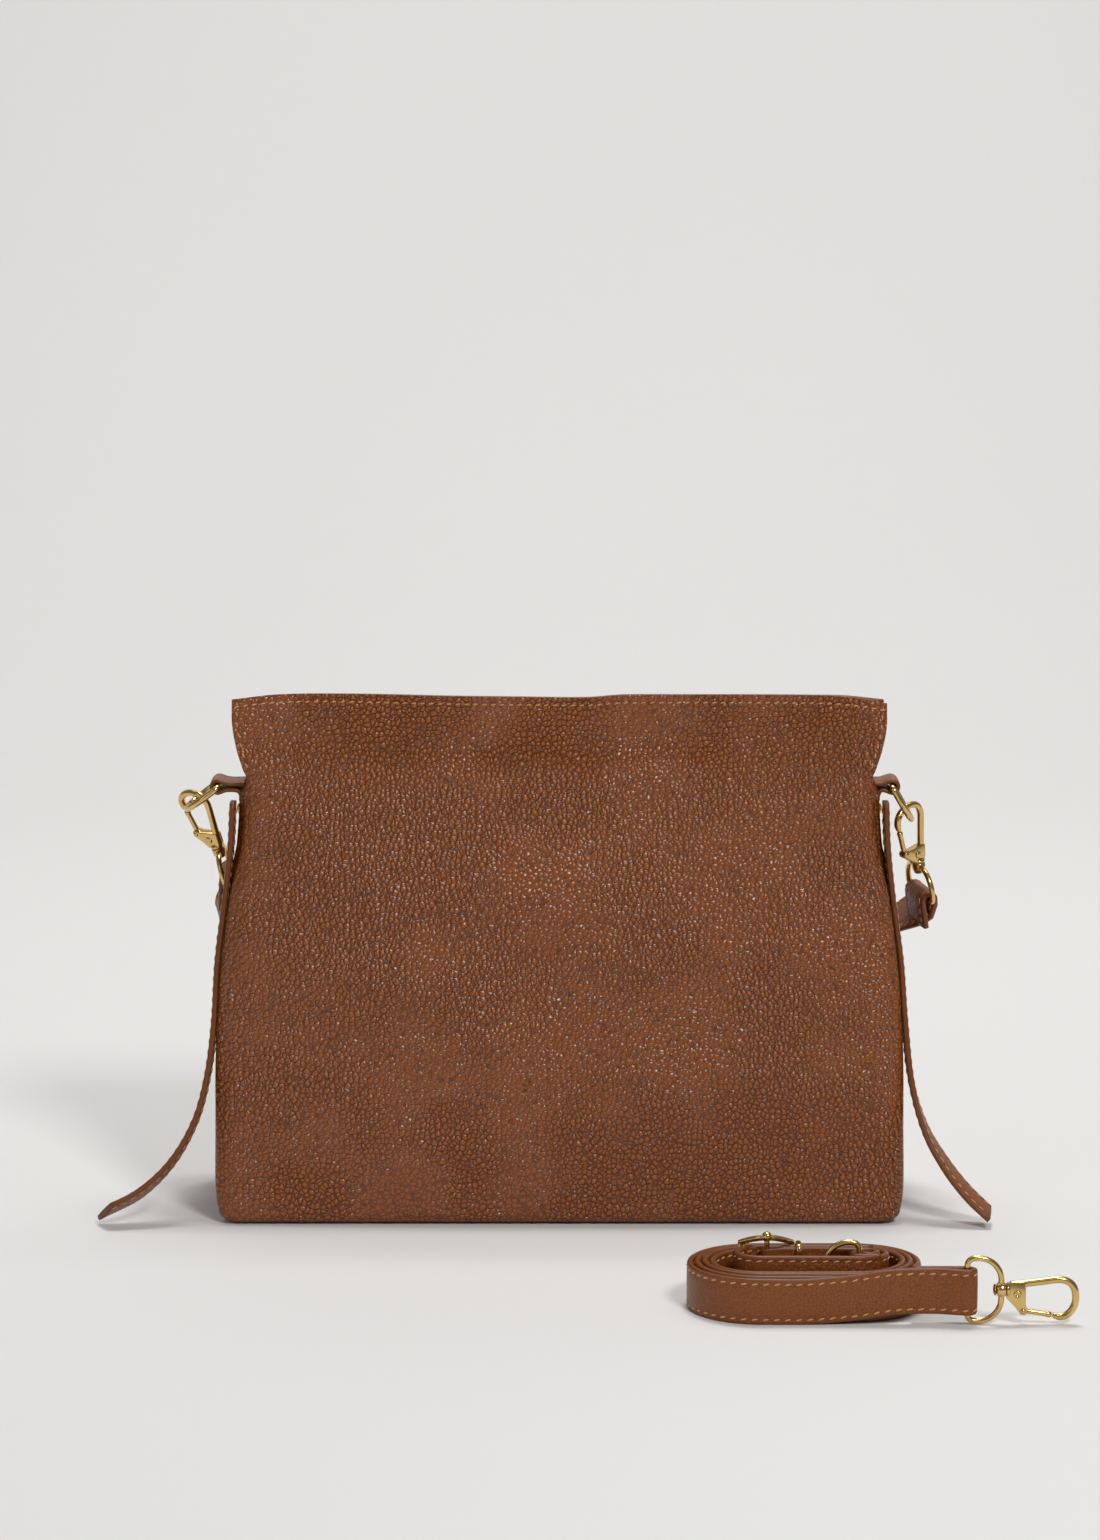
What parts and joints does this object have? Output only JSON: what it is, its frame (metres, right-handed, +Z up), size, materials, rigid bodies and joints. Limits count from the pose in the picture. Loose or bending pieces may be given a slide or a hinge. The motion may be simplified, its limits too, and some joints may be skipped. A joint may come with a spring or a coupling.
{
  "type": "sling bag",
  "caption": "Soft pebbled-leather sling bag with flared top corners, side rings, ties, a clipped short strap and a rolled crossbody strap",
  "frame": {"origin": "middle of the bag's base, on the surface it stands on", "axes": "+X to the viewer's right across the bag's width, +Y from the front panel to the back, +Z up"},
  "size_m": [0.4265, 0.288, 0.238],
  "materials": {
    "panel_leather": "pebbled full-grain cowhide, cognac, satin",
    "strap_leather": "smooth vegetable-tanned strap leather, cognac, satin",
    "lining_cotton": "plain-woven cotton twill, sand",
    "base_card": "polyethylene base board, dark grey, matte",
    "brass": "polished light brass, clear lacquer",
    "spring_steel": "drawn spring steel wire",
    "snap_steel": "brass-plated pressed steel"
  },
  "bodies": {
    "bag": {"front_panel": "panel_leather", "back_panel": "panel_leather", "base_panel": "panel_leather", "left_gusset": "panel_leather", "right_gusset": "panel_leather", "base_board": "base_card", "front_lining": "lining_cotton", "back_lining": "lining_cotton", "base_lining": "lining_cotton", "left_gusset_lining": "lining_cotton", "right_gusset_lining": "lining_cotton", "front_facing": "panel_leather", "back_facing": "panel_leather", "inner_pocket": "lining_cotton", "snap_cup": "snap_steel", "snap_stud": "snap_steel", "left_ring_tab": "strap_leather", "right_ring_tab": "strap_leather", "tab_rivets": "brass"},
    "left_ring": {"left_ring": "brass"},
    "right_ring": {"right_ring": "brass"},
    "shoulder_strap": {"shoulder_strap": "strap_leather", "left_eye": "brass", "right_eye": "brass"},
    "left_hook": {"left_hook": "brass", "left_gate_rivet": "brass", "left_gate_spring": "spring_steel"},
    "left_gate": {"left_gate": "brass"},
    "right_hook": {"right_hook": "brass", "right_gate_rivet": "brass", "right_gate_spring": "spring_steel"},
    "right_gate": {"right_gate": "brass"},
    "inner_hook": {"inner_hook": "brass", "inner_gate_rivet": "brass", "inner_gate_spring": "spring_steel"},
    "inner_gate": {"inner_gate": "brass"},
    "outer_hook": {"outer_hook": "brass", "outer_gate_rivet": "brass", "outer_gate_spring": "spring_steel"},
    "outer_gate": {"outer_gate": "brass"},
    "left_tie": {"left_tie": "strap_leather"},
    "right_tie": {"right_tie": "strap_leather"},
    "crossbody_strap": {"crossbody_strap": "strap_leather", "buckle_strap": "strap_leather", "buckle_frame": "brass", "strap_keeper": "brass", "inner_eye": "brass", "outer_eye": "brass"},
    "buckle_prong": {"buckle_prong": "brass"}
  },
  "joints": [
    {"name": "left_ring_swing", "type": "hinge", "parent": "bag", "child": "left_ring", "pos_m": [-0.1565, 0, 0.196], "axis": [0, 1, 0], "range_deg": [-12, 0]},
    {"name": "right_ring_swing", "type": "hinge", "parent": "bag", "child": "right_ring", "pos_m": [0.1525, 0, 0.196], "axis": [0, 1, 0], "range_deg": [0, 2]},
    {"name": "shoulder_strap_swing", "type": "hinge", "parent": "bag", "child": "shoulder_strap", "pos_m": [-0.16859, 0.00813, 0.18689], "axis": [0.9998, -0.0099, -0.0181], "range_deg": [0, 15]},
    {"name": "left_hook_swivel", "type": "hinge", "parent": "shoulder_strap", "child": "left_hook", "pos_m": [-0.15844, 0.01335, 0.1646], "axis": [-0.3001, -0.3001, 0.9054], "range_deg": [-8, 6]},
    {"name": "left_gate_hinge", "type": "hinge", "parent": "left_hook", "child": "left_gate", "pos_m": [-0.16753, 0.01706, 0.17043], "axis": [0.5617, 0.7115, 0.4221], "range_deg": [0, 25], "stiffness_Nm_per_rad": 0.004, "springref_deg": -11.46},
    {"name": "right_hook_swivel", "type": "hinge", "parent": "shoulder_strap", "child": "right_hook", "pos_m": [0.16636, 0.0127, 0.15769], "axis": [-0.1099, -0.2198, 0.9693], "range_deg": [-6, 2]},
    {"name": "right_gate_hinge", "type": "hinge", "parent": "right_hook", "child": "right_gate", "pos_m": [0.1593, 0.00497, 0.16225], "axis": [-0.713, 0.6969, 0.0772], "range_deg": [0, 25], "stiffness_Nm_per_rad": 0.004, "springref_deg": -11.46},
    {"name": "inner_hook_swivel", "type": "hinge", "parent": "crossbody_strap", "child": "inner_hook", "pos_m": [0.1113, -0.1896, 0.0152], "axis": [-1, 0, 0], "range_deg": [-7, 7]},
    {"name": "inner_gate_hinge", "type": "hinge", "parent": "inner_hook", "child": "inner_gate", "pos_m": [0.1044, -0.1896, 0.0061], "axis": [0, 1, 0], "range_deg": [0, 25], "stiffness_Nm_per_rad": 0.004, "springref_deg": -11.46},
    {"name": "outer_hook_swivel", "type": "hinge", "parent": "crossbody_strap", "child": "outer_hook", "pos_m": [0.1887, -0.2161, 0.0152], "axis": [1, 0, 0], "continuous": true},
    {"name": "outer_gate_hinge", "type": "hinge", "parent": "outer_hook", "child": "outer_gate", "pos_m": [0.1956, -0.2161, 0.0061], "axis": [0, -1, 0], "range_deg": [0, 25], "stiffness_Nm_per_rad": 0.004, "springref_deg": -11.46},
    {"name": "left_tie_swing", "type": "hinge", "parent": "bag", "child": "left_tie", "pos_m": [-0.1494, -0.0105, 0.188], "axis": [0, 1, 0], "range_deg": [0, 25]},
    {"name": "right_tie_swing", "type": "hinge", "parent": "bag", "child": "right_tie", "pos_m": [0.1494, -0.0105, 0.188], "axis": [0, -1, 0], "range_deg": [0, 25]},
    {"name": "crossbody_strap_lift", "type": "slide", "parent": "bag", "child": "crossbody_strap", "axis": [0, 0, 1], "range_m": [0, 0.15]},
    {"name": "buckle_prong_hinge", "type": "hinge", "parent": "crossbody_strap", "child": "buckle_prong", "pos_m": [0.08875, -0.1821, 0.0146], "axis": [0, 0, -1], "range_deg": [0, 4]}
  ]
}
